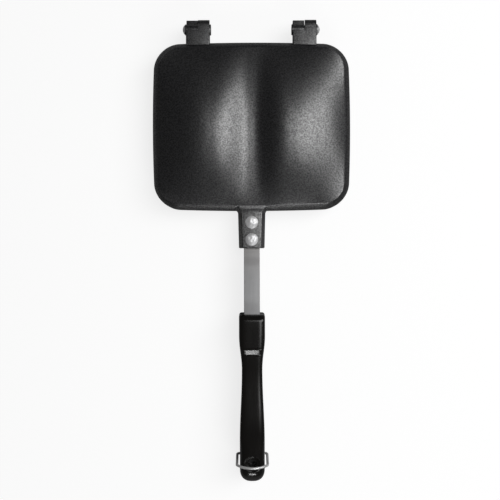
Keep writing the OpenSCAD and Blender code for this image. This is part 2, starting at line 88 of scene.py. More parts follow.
# %% The grip's and the bail's sizes
grip_l = grip_high[1] - grip_low[1]
collar_w, waist_w, butt_w = 20.2, 16.0, 19.4
collar_h, waist_h, butt_h = 16.4, 12.9, 15.2
collar_l, step_l, taper_at, waist_at, butt_at = 26.5, 4.8, 16.0, 43.0, 100.0
bevel_l, bevel_drop, collar_round, butt_round, step_round = 5.0, 2.6, 1.6, 11.0, 0.22
grip_gap, seam_share, sole_power, butt_power = 0.8, 0.42, 5.5, 2.3
crown_power, butt_crown_power, crown_fade_at, crown_fade_l = 6.5, 2.9, 88.0, 20.0
hang_r, dish_r, dish_h, hang_inset = 3.0, 5.8, 1.6, 16.3

wire_r, pivot_inset, pivot_drop, bail_reach = 1.0, 19.3, 7.0, 24.4
bail_arch, bail_x, bail_bend_r, bail_lean = 3.4, 11.9, 2.0, 13.0
bail_grip_depth, swing_gap = 4.4, 1.1
bail_clear_r = bail_reach - wire_r - swing_gap

# %% Places along the iron
hinge_y = shell_high[1] - knuckle_reach
plate_y = hinge_y - hinge_gap - plate_l / 2
plate_front_y = hinge_y - hinge_gap - plate_l
neck_end_y = plate_front_y - neck_l
grip_front_y = grip_high[1]
grip_end_y = grip_low[1]
rivet_ys = (plate_front_y - rivet_gap, plate_front_y - rivet_gap - rivet_pitch)
strap_low_z = neck_h - neck_t - 0.1 - strap_t
print(f"Hinge at y = {hinge_y:.1f} mm, grips from {grip_front_y:.1f} to {grip_end_y:.1f} mm")

# %% [markdown]
# ## From arrays to pieces
# A piece is made of patches. A patch is a grid of points that a formula fills in one go, and its
# quads follow from the grid's numbering. Patches of one piece share the points along their edges,
# so merging equal points closes the skin. The upper half is drawn above the parting plane; turning
# it over about the long axis gives the lower half, with its faces still outwards.

# %% Patches and skins
def ease(t):
    """Goes from 0 to 1 as t does, with a level start and end: half of one minus a cosine."""
    return (1 - np.cos(np.pi * np.clip(t, 0, 1))) / 2


def mix(a, b, t):
    """The value t of the way from a to b."""
    return a + (b - a) * t


class Skin:
    """Patches of points and faces in a half's own frame, in millimetres."""

    def __init__(self):
        self.points, self.faces, self.marks, self.count = [], [], [], 0

    def add(self, points, faces, mark=0.0):
        """Adds points and faces. mark is a number per point, kept for the finish."""
        self.points.append(points.reshape(-1, 3))
        self.marks.append(np.broadcast_to(mark, len(self.points[-1])))
        self.faces += (np.asarray(faces) + self.count).tolist()
        self.count += len(self.points[-1])

    def grid(self, points, flip=False, keep=None, round_cols=False, mark=0.0):
        """Quads over a grid; keep is a mask of cells, round_cols joins last column and first."""
        rows, cols = points.shape[:2]
        n = np.arange(rows * cols).reshape(rows, cols)
        if round_cols:
            n = np.hstack([n, n[:, :1]])
        quads = np.stack([n[:-1, :-1], n[:-1, 1:], n[1:, 1:], n[1:, :-1]], -1)
        quads = quads.reshape(-1, 4) if keep is None else quads[keep]
        self.add(points, quads[:, ::-1] if flip else quads, mark)

    def cap(self, loop, flip=False):
        """One flat face over a loop of points."""
        order = list(range(len(loop)))
        self.add(loop, [order[::-1] if flip else order])

    def tube(self, rings, flip=False, mark=0.0):
        """A closed tube through rings of equally many points, with a flat face at each end."""
        self.grid(rings, flip, round_cols=True, mark=mark)
        self.cap(rings[0], not flip)
        self.cap(rings[-1], flip)

    def piece(self, name, half, finish, body, nodes, sharp=32.0):
        """Turns the skin into an object that rides on a body and stands for CAD nodes."""
        turn = {"upper": (1, 1, 1), "lower": (-1, 1, -1)}[half]
        points = np.vstack(self.points) * turn + (0, 0, parting_z)
        mesh = bpy.data.meshes.new(name)
        mesh.from_pydata((points * MM).tolist(), [], self.faces)
        mark = mesh.attributes.new("mark", "FLOAT", "POINT")
        mark.data.foreach_set("value", np.concatenate(self.marks).astype(np.float32))
        close_seams(mesh)
        mesh.shade_smooth()
        mesh.set_sharp_from_angle(angle=math.radians(sharp))
        mesh.materials.append(finish.material)
        obj = bpy.data.objects.new(name, mesh)
        bpy.context.scene.collection.objects.link(obj)
        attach(obj, body)
        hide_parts(*nodes)
        print(f"{name}: {len(mesh.polygons)} faces")


def close_seams(mesh, apart=2e-6):
    """Merges points that lie within 0.002 mm, drops faces that vanish and turns all outwards."""
    bm = bmesh.new()
    bm.from_mesh(mesh)
    bmesh.ops.remove_doubles(bm, verts=bm.verts, dist=apart)
    bmesh.ops.dissolve_degenerate(bm, edges=bm.edges, dist=apart)
    bmesh.ops.recalc_face_normals(bm, faces=bm.faces)
    bm.to_mesh(mesh)
    open_edges = sum(1 for e in bm.edges if len(e.link_faces) != 2)
    bm.free()
    if open_edges:
        print(f"  {mesh.name} has {open_edges} open edges")


# %% [markdown]
# ## Shader sums as Python
# A finish is a small graph of nodes. Written by hand, each sum needs a Math node and two links, so
# a socket gets wrapped in a class whose operators add those nodes. Every other node comes from one
# method that sets the node's choices first and then its sockets.

# %% Signals and finishes
class Signal:
    """One output socket. +, - and * with another signal or a number add a Math node."""

    def __init__(self, graph, socket):
        self.graph, self.socket = graph, socket

    def sum(self, operation, a, b):
        return self.graph.node("ShaderNodeMath", {"operation": operation}, {0: a, 1: b})

    def __add__(self, other):
        return self.sum("ADD", self, other)

    def __radd__(self, other):
        return self.sum("ADD", other, self)

    def __sub__(self, other):
        return self.sum("SUBTRACT", self, other)

    def __rsub__(self, other):
        return self.sum("SUBTRACT", other, self)

    def __mul__(self, other):
        return self.sum("MULTIPLY", self, other)

    def __rmul__(self, other):
        return self.sum("MULTIPLY", other, self)


class Graph:
    """The node tree of a material or a world. Every node in it comes from one method."""

    def __init__(self, owner):
        owner.use_nodes = True
        self.owner, self.tree = owner, owner.node_tree
        self.tree.nodes.clear()

    def node(self, kind, choices=None, sockets=None, out=0):
        """Adds a node: its choices, then its sockets' values or links. Gives one of its outputs."""
        n = self.tree.nodes.new(kind)
        for key, value in (choices or {}).items():
            setattr(n, key, value)
        for key, value in (sockets or {}).items():
            if isinstance(value, Signal):
                self.tree.links.new(value.socket, n.inputs[key])
            else:
                n.inputs[key].default_value = value
        return Signal(self, n.outputs[out]) if len(n.outputs) else n

    def place(self):
        """Object coordinates, in metres."""
        return self.node("ShaderNodeTexCoord", out="Object")

    def stretched(self, scale):
        """Object coordinates, squeezed by a scale along each axis."""
        return self.node("ShaderNodeMapping", {"vector_type": "POINT"},
                         {"Vector": self.place(), "Scale": scale})

    def noise(self, scale, detail=2.0, rough=0.5, where=None):
        """Soft noise from 0 to 1, with scale cells to the metre."""
        return self.node("ShaderNodeTexNoise", {"noise_dimensions": "3D"},
                         {"Vector": where or self.place(), "Scale": scale, "Detail": detail,
                          "Roughness": rough}, out="Fac")

    def colours(self, factor, dark, light):
        """A colour between two, by a factor."""
        return self.node("ShaderNodeMix", {"data_type": "RGBA"},
                         {"Factor": factor, "A": (*dark, 1), "B": (*light, 1)}, out="Result")

    def bump(self, height, distance, strength=1.0):
        """A normal that height tilts, where a height of 1 stands distance metres proud."""
        return self.node("ShaderNodeBump", {}, {"Height": height, "Distance": distance,
                                                "Strength": strength}, out="Normal")

    def seen_as(self, other, shown, ray="Is Camera Ray"):
        """One shader for the light and another for one kind of ray, such as the camera's."""
        kind = self.node("ShaderNodeLightPath", out=ray)
        return self.node("ShaderNodeMixShader", {}, {0: kind, 1: other, 2: shown}, out="Shader")


class Finish(Graph):
    """A material named for what it is on the iron, with the record's slot that it belongs to."""

    def __init__(self, name, slot):
        self.material, self.slot = bpy.data.materials.new(name), slot
        super().__init__(self.material)

    def surface(self, sockets):
        """The finish's shader, from the Principled shader's sockets."""
        shader = self.node("ShaderNodeBsdfPrincipled", {}, sockets, out="BSDF")
        self.node("ShaderNodeOutputMaterial", {}, {"Surface": shader})
        return self


# %% [markdown]
# ## Finishes
# The castings carry a thin black coat over a sanded surface, so they're dark where they turn from
# the light and grey with a broad, grainy sheen where they face it. The straps are rolled steel, the
# rivets soft aluminium hammered shut, the bail drawn wire, and the grips a glossy moulded resin.

# %% The coat on the castings
def cast_coat():
    """Black coat over sand-cast metal: a fine grain that the clear top of the coat fills unevenly,
    slow waves and cloudy sheen, and a paler crisp shoulder edge: edge wear and a painted highlight."""
    f = Finish("cast_black_coat", "cast_coated")
    grain = f.noise(850.0, 5.0, 0.72)
    waves = f.noise(260.0, 2.0, 0.5)
    clouds = f.noise(28.0, 3.0, 0.55)
    # Edge wear and painted highlight: the mark lightens and smooths the coat along the shoulder's
    # crisp edge.
    edge_wear_and_highlight = f.node("ShaderNodeAttribute", {"attribute_name": "mark"}, out="Fac")
    fleck = f.node("ShaderNodeMapRange", {"clamp": True},
                   {"Value": grain, "From Min": 0.40, "From Max": 0.60}, out="Result")
    tone = clouds * 0.4 + fleck * 0.4 + edge_wear_and_highlight * 0.6
    return f.surface({
        "Base Color": f.colours(tone, (0.003, 0.003, 0.0036), (0.010, 0.010, 0.012)),
        "Roughness": 0.32 + clouds * 0.06 + grain * 0.06 - edge_wear_and_highlight * 0.05,
        "IOR": 1.75,
        "Coat Weight": fleck,
        "Coat Roughness": 0.3,
        "Coat IOR": 2.0,
        "Normal": f.bump(grain * 0.8 + waves * 0.2, 0.00024, 0.7),
    })


coat = cast_coat()
print(f"Made the finish {coat.material.name}")


# %% The steel of the straps
def rolled_steel():
    """Matt rolled steel: streaks along the strap, a faint scale, and a darker, brownish tint next to
    the neck, painted shade where the strap comes out from under the neck.
    """
    f = Finish("matt_rolled_steel", "strap_steel")
    streaks = f.noise(420.0, 3.0, 0.6, f.stretched((1.0, 0.06, 1.0)))
    scale = f.noise(900.0, 2.0, 0.6)
    blotches = f.noise(90.0, 2.0, 0.5)
    along = f.node("ShaderNodeSeparateXYZ", {}, {"Vector": f.place()}, out="Y")
    # Painted shade: the steel turns darker and brownish at the neck's end and under it, fading out
    # over 24 mm towards the grip.
    neck_shade_end, neck_shade_start = (neck_end_y - 24) * MM, neck_end_y * MM
    neck_shade = f.node("ShaderNodeMapRange", {"clamp": True},
                  {"Value": along, "From Min": neck_shade_end, "From Max": neck_shade_start}, out="Result")
    steel = f.colours(streaks * 0.5 + blotches * 0.5, (0.34, 0.34, 0.345), (0.56, 0.56, 0.565))
    neck_shaded_steel = f.node("ShaderNodeMix", {"data_type": "RGBA"},
                    {"Factor": neck_shade * 0.5, "A": steel, "B": (0.33, 0.31, 0.295, 1)}, out="Result")
    return f.surface({
        "Base Color": neck_shaded_steel,
        "Metallic": 0.3,
        "Roughness": 0.50 + streaks * 0.10 + blotches * 0.06,
        "Normal": f.bump(streaks * 0.6 + scale * 0.4, 0.00006, 0.5),
    })


steel = rolled_steel()
print(f"Made the finish {steel.material.name}")


# %% The aluminium of rivets and pins
def hammered_aluminium():
    """Bright soft metal: shallow dents from the hammer, small scratches and a satin shine."""
    f = Finish("hammered_aluminium", "rivet_metal")
    dents = f.noise(520.0, 1.0, 0.4)
    specks = f.noise(2600.0, 3.0, 0.6)
    return f.surface({
        "Base Color": f.colours(dents, (0.78, 0.78, 0.79), (0.96, 0.96, 0.97)),
        "Metallic": 0.5,
        "Roughness": 0.36 + specks * 0.16,
        "Normal": f.bump(dents * 0.8 + specks * 0.2, 0.00045, 0.8),
    })


rivet_metal = hammered_aluminium()
print(f"Made the finish {rivet_metal.material.name}")


# %% The wire of the bail
def drawn_wire():
    """Drawn wire: fine lines along its length, from the mark that runs round the wire."""
    f = Finish("bright_drawn_wire", "wire_steel")
    around = f.node("ShaderNodeAttribute", {"attribute_name": "mark"}, out="Fac")
    lines = f.node("ShaderNodeTexNoise", {"noise_dimensions": "1D"},
                   {"W": around, "Scale": 9.0, "Detail": 3.0}, out="Fac")
    dull = f.noise(300.0, 2.0, 0.5)
    return f.surface({
        "Base Color": f.colours(dull, (0.78, 0.78, 0.78), (0.95, 0.95, 0.945)),
        "Metallic": 0.5,
        "Roughness": 0.24 + dull * 0.12,
        "Normal": f.bump(lines, 0.00003, 0.5),
    })


wire = drawn_wire()
print(f"Made the finish {wire.material.name}")


# %% The resin of the grips
def moulded_resin():
    """Glossy black resin: a mirror skin with a slow sink, small pits, and hair scratches."""
    f = Finish("glossy_black_resin", "grip_resin")
    sink = f.noise(60.0, 1.0, 0.4)
    pits = f.noise(1900.0, 2.0, 0.5)
    hair = f.noise(700.0, 2.0, 0.7, f.stretched((1.0, 0.08, 1.0)))
    return f.surface({
        "Base Color": f.colours(sink * 0.6 + pits * 0.4, (0.0045, 0.004, 0.0035),
                                (0.010, 0.009, 0.008)),
        "Roughness": 0.12 + sink * 0.06 + hair * 0.06,
        "IOR": 1.5,
        "Normal": f.bump(sink * 0.7 + pits * 0.04 + hair * 0.04, 0.00012, 0.35),
    })


resin = moulded_resin()
print(f"Made the finish {resin.material.name}")

# %% [markdown]
# ## The plates
# From above a plate is a rounded rectangle with bowed sides, and two broad domes rise from it with
# a rounded valley between them. It could be carved or subdivided by hand, but the casting follows a
# rule, so the rule is written down: a square grid is bent onto the outline, and each point's height
# is a rise across the plate times a fall towards its ends. One border of points joins the outside,
# the shoulder, the rim and the hollows, so the skin is closed.

# %% The plate's outline and height
def half_at(t, a, b, r):
    """Half width a of a rounded rectangle at distance t along it: less inside its corners."""
    over = np.maximum(np.abs(t) - (b - r), 0)
    return a - r + np.sqrt(r * r - over * over)


def plate_plan(u, v, inset):
    """Bends the square u, v onto the outline drawn in by inset, then bows its sides outwards."""
    a, b = plate_w / 2 - side_bow - inset, plate_l / 2 - side_bow - inset
    r = np.maximum(plate_r - inset, 2)
    reach = r * math.cos(math.pi / 4)
    x = u * half_at(v * (b - r + reach), a, b, r)
    y = v * half_at(u * (a - r + reach), b, a, r)
    return x + side_bow * x / a * (1 - (y / b) ** 2), y + side_bow * y / b * (1 - (x / a) ** 2)


def valley_distance(x):
    """Distance from the valley with its floor rounded: a power sum of x and the round, less
    the round."""
    powers = np.abs(x) ** valley_power + valley_round ** valley_power
    return powers ** (1 / valley_power) - valley_round


def dome_height(x, y):
    """Height over the rim's edge: a rise across the plate, from the valley's floor up a steep flank
    to a level peak and falling ever faster to the side, times a fall to nothing at the ends."""
    side, end = plate_w / 2 - shoulder_w, plate_l / 2 - shoulder_w
    up = np.clip(valley_distance(x) / valley_distance(peak_x), 0, 1)
    out = np.clip((np.abs(x) - peak_x) / (side - peak_x), 0, 1)
    flank = mix(1, valley_rise / (peak_h - rim_edge_h), (1 - up) ** flank_power)
    across = np.where(np.abs(x) < peak_x, flank, 1 - out ** side_power)
    return (peak_h - rim_edge_h) * across * (1 - np.clip(np.abs(y) / end, 0, 1) ** end_power)


def ridge_groove(x, y, low):
    """Depth of the round groove that leaves the dividing ridge inside, fading out at the ends."""
    v = np.clip(np.abs(y) / (plate_l / 2 - shoulder_w), 0, 1)
    depth = valley_rise * (1 - v ** end_power) + (low - ridge_h) * (1 - v ** 4)
    return depth * np.exp(-(2 * x / ridge_w) ** 2)


# %% The plate's skin
def plate_skin(cols=161, rows=139):
    """Outer domes, shoulder, wall, rim face and inner hollows, on one shared border of points."""
    skin = Skin()
    t = np.linspace(-1, 1, cols)
    u, v = np.meshgrid(np.sign(t) * np.abs(t) ** 1.12, np.linspace(-1, 1, rows))

    def field(inset, base, ridge):
        x, y = plate_plan(u, v, inset)
        z = base + dome_height(x, y) - ridge * ridge_groove(x, y, base)
        return np.stack([x, y + plate_y, z], -1)

    def edge(values):
        sides = values[0, :-1], values[:-1, -1], values[-1, :0:-1], values[:0:-1, 0]
        return np.concatenate(sides)

    def loop(inset, z):
        x, y = plate_plan(edge(u), edge(v), inset)
        return np.stack([x, y + plate_y, np.full_like(x, z)], -1)

    outer = field(shoulder_w + 0.35, rim_edge_h, 0)
    hollow = rim_edge_h - wall_t
    inner = field(rim_face_w + 0.5, hollow, 1)
    worn, bent = 0.4, 0.12
    profile = [(rim_face_w + 0.15, hollow - 0.15), (rim_face_w, hollow - 0.5),
               (rim_face_w, rim_gap + worn), (rim_face_w - bent, rim_gap + bent),
               (rim_face_w - worn, rim_gap), (worn, rim_gap),
               (bent, rim_gap + bent), (0, rim_gap + worn)]
    e = 2 / shoulder_power
    profile += [(shoulder_w * (1 - math.cos(a) ** e), mix(rim_wall_h, rim_edge_h, math.sin(a) ** e))
                for a in np.radians(np.linspace(0, 75, 9))]
    rings = np.stack([edge(inner)] + [loop(i, z) for i, z in profile] + [edge(outer)])
    # Edge wear and painted highlight: the last shoulder ring and the dome's border carry a mark that
    # lightens the coat.
    crisp = np.zeros(rings.shape[:2])
    crisp[-2:] = 1.0
    skin.grid(rings, flip=True, round_cols=True, mark=crisp.ravel())
    skin.grid(outer)
    skin.grid(inner, flip=True)
    return skin


# %% [markdown]
# ## Neck and hinge
# The neck is an upside-down channel that covers the strap's end, with drafted sides so that it
# leaves its mould. Lugs and knuckles are slices of one side view, so they are made as profiles that
# are carried across the iron. A real casting has no sharp edge, so each end of a carried profile
# is drawn in along a quarter round.

# %% The neck
def corner(cx, cz, r, start, end, n):
    """Points of an arc round (cx, cz), by angle in degrees; arrays give one arc per station."""
    a = np.radians(np.linspace(start, end, n))
    x, z = cx[:, None] + r * np.cos(a), cz[:, None] + r * np.sin(a)
    return np.stack(np.broadcast_arrays(x, z), -1)


def neck(skin):
    """Rings along the neck: foot, drafted side, rounded top edge, and the channel underneath."""
    front_r, top_r, foot_r = 1.0, 0.9, 0.4
    s = np.concatenate([np.linspace(-4.2, 3, 15), np.linspace(4, neck_l - 1.2, 16),
                        neck_l - front_r + front_r * np.sin(np.radians([0, 25, 50, 70, 90]))])
    over = np.clip(s - (neck_l - front_r), 0, front_r)
    front = front_r - np.sqrt(front_r ** 2 - over ** 2)
    flare = 1.5 * (1 - np.clip((s + 0.3) / 3.0, 0, 1)) ** 2.2
    foot = mix(neck_root_w, neck_end_w, s / neck_l) / 2 + flare - front * 0.8
    draft = mix(neck_draft - 0.1, neck_draft + 0.2, np.clip(s / neck_l, 0, 1))
    top = neck_h - front * 0.8 + 0.5 * (1 - np.clip((s + 1.5) / 4.0, 0, 1)) ** 2
    buried = 0.85 * np.clip((-s - 0.6) / 1.6, 0, 1)[:, None]
    lean = math.degrees(math.atan2(neck_draft, neck_h))
    zero = np.zeros_like(s)
    side = strap_w / 2 + 0.2
    right = [corner(foot - foot_r, zero + foot_z + foot_r, foot_r, -90, lean, 5),
             corner(foot - draft - top_r, top - top_r, top_r, lean, 90, 8),
             np.stack([zero, top + 0.1], -1)[:, None]]
    right = np.concatenate(right, axis=1)
    left = right[:, -2::-1] * (-1, 1)
    channel = ((-side, foot_z), (-side, neck_h - neck_t), (side, neck_h - neck_t), (side, foot_z))
    under = np.stack([np.stack([zero + x, zero + z], -1) for x, z in channel], 1)
    section = np.concatenate([right, left, under], axis=1)
    y = np.broadcast_to((plate_front_y - s)[:, None], section.shape[:2])
    skin.tube(np.stack([section[..., 0], y, mix(section[..., 1], top[:, None], buried)], -1))


# %% Lugs, knuckles and bosses
def arc(cy, cz, r, start, end, n=14):
    """Points (y, z) of an arc round a centre, by angle in degrees."""
    a = np.radians(np.linspace(start, end, n))
    return np.stack([cy + r * np.cos(a), cz + r * np.sin(a)], -1)


def drawn_in(profile, by):
    """A closed profile with each point moved inwards, square to the line between its neighbours."""
    along = np.roll(profile, -1, 0) - np.roll(profile, 1, 0)
    inwards = np.stack([-along[:, 1], along[:, 0]], -1)
    return profile + by * inwards / np.linalg.norm(inwards, axis=1, keepdims=True)


def carried(skin, profile, x0, x1, left=0.45, right=0.45):
    """Carries a profile from x0 to x1 along the hinge axis, its ends rounded by left and right."""
    a = np.radians(np.linspace(0, 90, 5))

    def end(x, r, turns):
        steps = [(x + r * (1 - math.cos(t)), abs(r) * (1 - math.sin(t))) for t in turns]
        return steps if r else [(x, 0)]

    rings = []
    for x, by in end(x0, left, a) + end(x1, -right, a[::-1]):
        yz = drawn_in(profile, by)
        rings.append(np.stack([np.full(len(yz), x), yz[:, 0] + hinge_y, yz[:, 1]], -1))
    skin.tube(np.stack(rings), flip=True)


def bracket(skin, x):
    """A lug with its left half cut away round the other knuckle, and this half's knuckle."""
    back = -hinge_gap - root_depth
    deep = back - 0.3
    left, right = x - bracket_w / 2, x + bracket_w / 2
    split = right - knuckle_w
    clear = barrel_r + turn_gap
    lean = math.tan(math.radians(open_angle - 90))
    low = math.degrees(math.asin(foot_z / clear))
    stop_z, top_y = 4.2, -turn_gap - lug_h * lean
    stop = [(-turn_gap - stop_z * lean - 0.2, stop_z + 0.35), (top_y - 0.25, lug_h - 0.25),
            (top_y - 0.6, lug_h), (back, lug_h)]
    cut_lug = np.vstack([[(back, foot_z)], arc(0, 0, clear, 180 - low, 104.5), stop])
    carried(skin, cut_lug, left, split, right=0)
    end_r = lug_h - 2 * rim_gap
    nose = knuckle_reach - end_r
    knuckle = np.vstack([[(deep, foot_z)], arc(0, 0, barrel_r, 180 + 1.5, 360 - 1.5, 30),
                         [(knuckle_reach - 0.3, rim_gap)], arc(nose, rim_gap, end_r, 4, 86, 14),
                         [(nose - 0.4, lug_h), (deep, lug_h)]])
    carried(skin, knuckle, split, right, left=0)
    carried(skin, arc(0, 0, boss_r, 0, 352.5, 48), right - 0.6, right + boss_h, 0, 0.3)


# %% Build the two castings
def casting():
    """One half's casting: plate, neck and two brackets."""
    skin = plate_skin()
    neck(skin)
    bracket(skin, bracket_x)
    bracket(skin, -bracket_x)
    return skin


half_casting = casting()
half_casting.piece("upper_casting", "upper", coat, "upper_iron", ["upper_shell"])
half_casting.piece("lower_casting", "lower", coat, "lower_iron", ["lower_shell"])

# %% [markdown]
# ## Straps and rivets
# A strap is a flat bar that steps up between neck and grip. Its section is a rectangle with worn
# corners, carried along the step. The rivets are turned shapes: their outline is revolved, and the
# head gets a few shallow flats where the hammer met it.

# %% The straps
def strap_skin():
    """A rounded rectangle carried along a level, a soft step up and a level again."""
    skin = Skin()
    neck_inset, grip_inset = 1.2, 20
    y0, y1 = plate_front_y - neck_inset, grip_front_y - grip_inset
    rise_y = neck_end_y - strap_rise_gap
    y = np.concatenate([[y0], np.linspace(rise_y + 2, rise_y - strap_rise_l - 2, 40), [y1]])
    middle = strap_low_z + strap_t / 2 + strap_rise * ease((rise_y - y) / strap_rise_l)
    r = 0.4
    w, h = strap_w / 2 - r, strap_t / 2 - r
    section = np.vstack([np.array([cx, cz]) + arc(0, 0, r, a, a + 90, 5)
                         for cx, cz, a in ((w, h, 0), (-w, h, 90), (-w, -h, 180), (w, -h, 270))])
    slope = np.gradient(middle, y)[:, None]
    size = np.sqrt(1 + slope ** 2)
    x = np.broadcast_to(section[:, 0], (len(y), len(section)))
    yy = y[:, None] - section[:, 1] * slope / size
    zz = middle[:, None] + section[:, 1] / size
    skin.tube(np.stack([x, yy, zz], -1))
    return skin


half_strap = strap_skin()
half_strap.piece("upper_steel_strap", "upper", steel, "upper_iron", ["upper_strap"])
half_strap.piece("lower_steel_strap", "lower", steel, "lower_iron", ["lower_strap"])


# %% Turned shapes
AXIS = 1e-6
DOME_POINTS = 14


def turned(outline, sides=64):
    """Revolves an outline of (radius, height) round the Z axis; its ends lie on the axis."""
    a = np.linspace(0, 2 * np.pi, sides, endpoint=False)
    r, z = np.asarray(outline, float).T
    return np.stack([r[:, None] * np.cos(a), r[:, None] * np.sin(a),
                     np.broadcast_to(z[:, None], (len(r), sides))], -1)


def dome(radius, height, base):
    """Outline of a low dome from its top to its rim: part of a sphere with a rounded edge."""
    ball = (radius ** 2 + height ** 2) / (2 * height)
    r = np.linspace(AXIS, radius - 0.25, DOME_POINTS)
    z = base + height - ball + np.sqrt(ball ** 2 - r ** 2)
    return list(zip(r, z)) + [(radius - 0.05, z[-1] - 0.12), (radius, z[-1] - 0.3)]


def hammered(rings, dents, depth):
    """Presses dents given as (angle, distance, size) into a dome: a soft bowl for each."""
    out = rings.copy()
    for angle, distance, size in dents:
        cx, cy = distance * math.cos(angle), distance * math.sin(angle)
        away = np.hypot(out[..., 0] - cx, out[..., 1] - cy)
        out[..., 2] -= depth * np.exp(-(away / size) ** 2)
    return out


# %% The rivets
def rivet_skin(y, seed):
    """Head on the neck, shank through neck and strap, and a closed end under the strap."""
    skin = Skin()
    tail_z = strap_low_z - rivet_tail_h
    outline = dome(rivet_head_r, rivet_head_h, neck_h + 0.1)
    outline += [(rivet_head_r - 0.05, neck_h - 0.02), (rivet_r, neck_h - 0.1),
                (rivet_r, strap_low_z), (rivet_tail_r - 0.1, strap_low_z),
                (rivet_tail_r, strap_low_z - 0.15), (rivet_tail_r - 0.1, tail_z + 0.25),
                (rivet_tail_r - 0.5, tail_z), (AXIS, tail_z)]
    rings = turned(outline)
    random = np.random.default_rng(seed)
    blows = 9
    dents = np.stack([random.uniform(0, 2 * np.pi, blows), random.uniform(0.3, 4.2, blows),
                      random.uniform(0.7, 1.5, blows)], -1)
    rings[:DOME_POINTS] = hammered(rings[:DOME_POINTS], dents, 0.16)
    rings[0, :, 2] = rings[0, :, 2].mean()
    skin.grid(rings + (0, y, 0), flip=True, round_cols=True)
    return skin


for half in ("upper", "lower"):
    for place, y, seed in (("front", rivet_ys[0], 3), ("rear", rivet_ys[1], 8)):
        node = f"{half}_rivet_{place}"
        rivet_skin(y, seed + (half == "lower")).piece(
            f"{node}_turned", half, rivet_metal, f"{half}_iron", [node], 50)


# %% The hinge pins
def pin_skin():
    """A pin along X: domed head on the outer boss, shank through both knuckles."""
    skin = Skin()
    face_x = bracket_x + bracket_w / 2 + boss_h
    tip_x = bracket_x - bracket_w / 2 + 2 * turn_gap
    outline = dome(pin_head_r, pin_head_h, face_x + 0.1)
    outline += [(pin_head_r, face_x), (pin_r, face_x), (pin_r, tip_x + 0.3),
                (pin_r - 0.3, tip_x), (AXIS, tip_x)]
    dents = [(0.7, 1.5, 1.0), (3.0, 2.0, 0.9), (5.1, 1.2, 1.1)]
    rings = hammered(turned(outline, 48), dents, 0.1)
    skin.grid(rings[..., [2, 0, 1]] + (0, hinge_y, 0), flip=True, round_cols=True)
    return skin


hinge_pin = pin_skin()
hinge_pin.piece("right_pin_turned", "upper", rivet_metal, "upper_iron", ["hinge_pin_right"], 50)
hinge_pin.piece("left_pin_turned", "lower", rivet_metal, "lower_iron", ["hinge_pin_left"], 50)

# %% [markdown]
# ## Grips
# A grip is flat below and crowned above, so seen from above both faces are heights over one plan.
# Each face is a grid over that plan. Round the hanging hole the grid is pushed apart, from a square
# of cells that is left out to a circle, so that the hole's rim is a true ring of points. The dish,
# the bore and the lower rim are rings inside that one, joined point by point.

# %% The grip's plan and heights
def edge_round(s):
    """How far the rounded front edge stands back at distance s from the grip's front."""
    s = np.minimum(s, collar_round)
    return collar_round - np.sqrt(np.maximum(s * (2 * collar_round - s), 0))


def half_width(s):
    """Half width: collar, waist and rear joined by eased stretches, then a rounded end."""
    body = np.where(s < waist_at,
                    mix(collar_w, waist_w, ease((s - taper_at) / (waist_at - taper_at))),
                    mix(waist_w, butt_w, ease((s - waist_at) / (butt_at - waist_at))))
    over = np.clip((s - grip_l + butt_round) / butt_round, 0, 1)
    rear = (1 - over ** butt_power) ** (1 / butt_power)
    return np.maximum((body / 2 - edge_round(s)) * rear, 0.8)


def crown_height(s):
    """Top of the grip: bevel, collar, thumb step, waist and rear, kept inside the bail's swing.
    The step is a ramp between two soft bends, and the soft least of grip and swing is taken."""
    bevel = collar_h - bevel_drop * (1 - np.sin(np.pi / 2 * np.clip(s / bevel_l, 0, 1)))
    bend = (s - collar_l) / step_round
    step = np.logaddexp(0, bend) - np.logaddexp(0, (s - collar_l - step_l) / step_round)
    front = np.where(s < bevel_l, bevel, mix(collar_h, waist_h, step * step_round / step_l))
    rear = mix(waist_h, butt_h, ease((s - waist_at) / (butt_at - waist_at)))
    body = np.where(s < waist_at, front, rear)
    dy = s - (grip_l - pivot_inset)
    swing = np.sqrt(np.maximum(bail_clear_r ** 2 - dy * np.abs(dy), 1)) - pivot_drop
    sharpness = 4
    return -np.log(np.exp(-sharpness * body) + np.exp(-sharpness * swing)) / sharpness


def end_round(s, r=1.4):
    """How far top and bottom draw together over the last stretch of the grip."""
    over = np.clip(s - (grip_l - r), 0, r)
    return r - np.sqrt(r * r - over * over)


def grip_surface(x, s, top):
    """Height of the crowned top, or of the flat sole, at a place on the plan: a superellipse."""
    a, drawn = half_width(s), edge_round(s) + end_round(s)
    high, low = crown_height(s) - drawn, grip_gap + drawn
    seam = mix(low, high, seam_share)
    crown = mix(crown_power, butt_crown_power, ease((s - crown_fade_at) / crown_fade_l))
    power = crown if top else sole_power
    out = np.abs(x) / a
    rise = np.where(out > 1 - 1e-9, 0, 1 - np.minimum(out, 1) ** power) ** (1 / power)
    return seam + (high - seam) * rise if top else seam - (seam - low) * rise


# %% The grip's skin
def pushed_apart(x, y, block_x, block_y, radius, reach):
    """Moves a plan's points away from a hole: a square block's edge goes onto a circle, and the
    push fades out at reach times the block's size."""
    square = np.maximum(np.abs(x) / block_x, np.abs(y) / block_y)
    push = np.clip((reach - square) / (reach - 1), 0, 1)
    away = np.maximum(np.hypot(x, y), 1e-9)
    size = radius * square
    return mix(x, x / away * size, push), mix(y, y / away * size, push)


